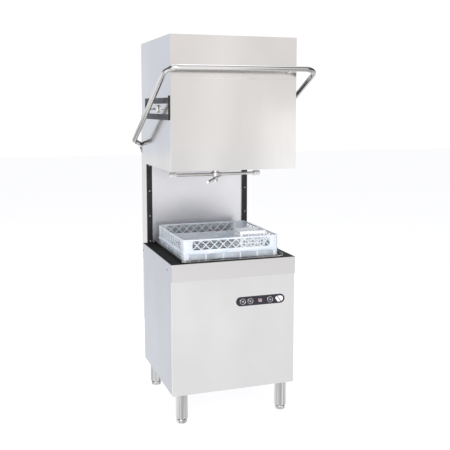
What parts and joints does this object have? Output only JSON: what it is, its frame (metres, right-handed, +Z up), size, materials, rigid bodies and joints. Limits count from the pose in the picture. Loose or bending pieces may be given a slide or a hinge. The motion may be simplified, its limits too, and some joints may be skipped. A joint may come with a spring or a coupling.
{
  "type": "hood type dishwasher",
  "caption": "Free-standing stainless pass-through warewasher: a sliding hood on rear columns with a swing handle, spray arms above and below a square dish rack, tank and pump in the base.",
  "frame": {"origin": "on the floor, under the middle of the machine's outer box", "axes": "+X to the machine's right as seen from the front, +Y to its back, +Z up"},
  "size_m": [0.765, 0.899, 1.892],
  "materials": {
    "brushed_stainless": "brushed",
    "polished_stainless": "polished",
    "satin_stainless": "satin",
    "machined_steel": "zinc plated",
    "spring_steel": "satin",
    "black_guide_plastic": "matte",
    "white_acetal": "satin",
    "rack_polypropylene": "satin",
    "basket_polypropylene": "satin",
    "fascia_black": "satin",
    "button_grey": "satin",
    "display_red": "gloss",
    "frosted_lens": "frosted",
    "circuit_board": "solder resist",
    "enclosure_plastic": "matte",
    "motor_aluminium": "cast",
    "pump_plastic": "glass filled",
    "boiler_jacket": "foam",
    "brass_valve": "machined",
    "black_nylon": "matte"
  },
  "bodies": {
    "machine": {"axle_bushes": "white_acetal", "boiler_tank": "boiler_jacket", "cable_gland": "black_nylon", "chamber_rear_panel": "brushed_stainless", "chassis_tray": "brushed_stainless", "column_crossbeam": "brushed_stainless", "column_left": "brushed_stainless", "column_right": "brushed_stainless", "control_board": "circuit_board", "control_fascia": "fascia_black", "counter_springs": "spring_steel", "display_window": "display_red", "drain_outlet": "satin_stainless", "electrical_box": "enclosure_plastic", "front_panel": "brushed_stainless", "guide_strip_left": "black_guide_plastic", "guide_strip_right": "black_guide_plastic", "leg_front_left": "polished_stainless", "leg_front_right": "polished_stainless", "leg_rear_left": "polished_stainless", "leg_rear_right": "polished_stainless", "overflow_pipe": "satin_stainless", "pump_housing": "pump_plastic", "pump_motor": "motor_aluminium", "rack_guide": "polished_stainless", "rear_cover": "brushed_stainless", "rear_panel": "brushed_stainless", "side_panel_left": "brushed_stainless", "side_panel_right": "brushed_stainless", "status_lens": "frosted_lens", "sump_strainer": "satin_stainless", "tank_element": "satin_stainless", "tank_filter": "satin_stainless", "wash_manifold": "satin_stainless", "wash_tank": "brushed_stainless", "water_inlet": "brass_valve"},
    "hood": {"hood_shell": "brushed_stainless", "hood_front_panel": "brushed_stainless", "handle_guide_left": "black_guide_plastic", "handle_guide_right": "black_guide_plastic", "hood_sliders": "white_acetal"},
    "handle": {"handle_tube": "polished_stainless", "lever_shaft": "machined_steel"},
    "rollers": {"handle_rollers": "white_acetal"},
    "spring_rods": {"spring_rods": "machined_steel"},
    "power_button": {"power_button": "button_grey"},
    "cycle_button": {"cycle_button": "button_grey"},
    "start_button": {"start_button": "button_grey"},
    "lower_wash_arm": {"lower_wash_arm": "satin_stainless"},
    "upper_wash_arm": {"upper_wash_arm": "satin_stainless", "upper_arm_caps": "white_acetal"},
    "lower_rinse_arm": {"lower_rinse_arm": "satin_stainless"},
    "upper_rinse_arm": {"upper_rinse_arm": "satin_stainless"},
    "impeller": {"pump_impeller": "pump_plastic"},
    "rack": {"rack": "rack_polypropylene"},
    "cutlery_basket": {"cutlery_basket": "basket_polypropylene"},
    "foot_front_left": {"foot_front_left": "polished_stainless"},
    "foot_front_right": {"foot_front_right": "polished_stainless"},
    "foot_rear_left": {"foot_rear_left": "polished_stainless"},
    "foot_rear_right": {"foot_rear_right": "polished_stainless"}
  },
  "joints": [
    {"name": "hood_lift", "type": "slide", "parent": "machine", "child": "hood", "axis": [0, 0, 1], "range_m": [-0.445, 0], "stiffness_N_per_m": 60, "springref_m": 3.3},
    {"name": "handle_swing", "type": "hinge", "parent": "machine", "child": "handle", "pos_m": [0, 0.365, 1.334], "axis": [1, 0, 0], "range_deg": [0, 55.6]},
    {"name": "roller_spin", "type": "hinge", "parent": "handle", "child": "rollers", "pos_m": [0, -0.06203, 1.547], "axis": [1, 0, 0], "continuous": true},
    {"name": "spring_lift", "type": "slide", "parent": "machine", "child": "spring_rods", "axis": [0, 0, 1], "range_m": [0, 0.056], "deforming": ["counter_springs"]},
    {"name": "power_press", "type": "slide", "parent": "machine", "child": "power_button", "axis": [0, 1, 0], "range_m": [0, 0.0015], "stiffness_N_per_m": 400, "springref_m": -0.002},
    {"name": "cycle_press", "type": "slide", "parent": "machine", "child": "cycle_button", "axis": [0, 1, 0], "range_m": [0, 0.0015], "stiffness_N_per_m": 400, "springref_m": -0.002},
    {"name": "start_press", "type": "slide", "parent": "machine", "child": "start_button", "axis": [0, 1, 0], "range_m": [0, 0.0015], "stiffness_N_per_m": 400, "springref_m": -0.002},
    {"name": "lower_wash_spin", "type": "hinge", "parent": "machine", "child": "lower_wash_arm", "pos_m": [0, 0, 0.756], "axis": [0, 0, 1], "continuous": true},
    {"name": "lower_rinse_spin", "type": "hinge", "parent": "machine", "child": "lower_rinse_arm", "pos_m": [0, 0, 0.777], "axis": [0, 0, 1], "continuous": true},
    {"name": "upper_wash_spin", "type": "hinge", "parent": "machine", "child": "upper_wash_arm", "pos_m": [0, 0, 1.207], "axis": [0, 0, 1], "continuous": true},
    {"name": "upper_rinse_spin", "type": "hinge", "parent": "machine", "child": "upper_rinse_arm", "pos_m": [0, 0, 1.186], "axis": [0, 0, 1], "continuous": true},
    {"name": "impeller_spin", "type": "hinge", "parent": "machine", "child": "impeller", "pos_m": [0, 0.12, 0.262], "axis": [1, 0, 0], "continuous": true},
    {"name": "foot_turn_front_left", "type": "hinge", "parent": "machine", "child": "foot_front_left", "pos_m": [-0.265, -0.265, 0.012], "axis": [0, 0, 1], "continuous": true},
    {"name": "foot_turn_front_right", "type": "hinge", "parent": "machine", "child": "foot_front_right", "pos_m": [0.265, -0.265, 0.012], "axis": [0, 0, 1], "continuous": true},
    {"name": "foot_turn_rear_left", "type": "hinge", "parent": "machine", "child": "foot_rear_left", "pos_m": [-0.265, 0.272, 0.012], "axis": [0, 0, 1], "continuous": true},
    {"name": "foot_turn_rear_right", "type": "hinge", "parent": "machine", "child": "foot_rear_right", "pos_m": [0.265, 0.272, 0.012], "axis": [0, 0, 1], "continuous": true},
    {"name": "rack_slide", "type": "slide", "parent": "machine", "child": "rack", "axis": [0, -1, 0], "range_m": [0, 0.45]},
    {"name": "basket_lift", "type": "slide", "parent": "rack", "child": "cutlery_basket", "axis": [0, 0, 1], "range_m": [0, 0.15]}
  ],
  "couplings": [
    {"joint": "handle_swing", "follows": "hood_lift", "rad_per_m": -2.1806},
    {"joint": "spring_lift", "follows": "hood_lift", "ratio": -0.12576}
  ]
}
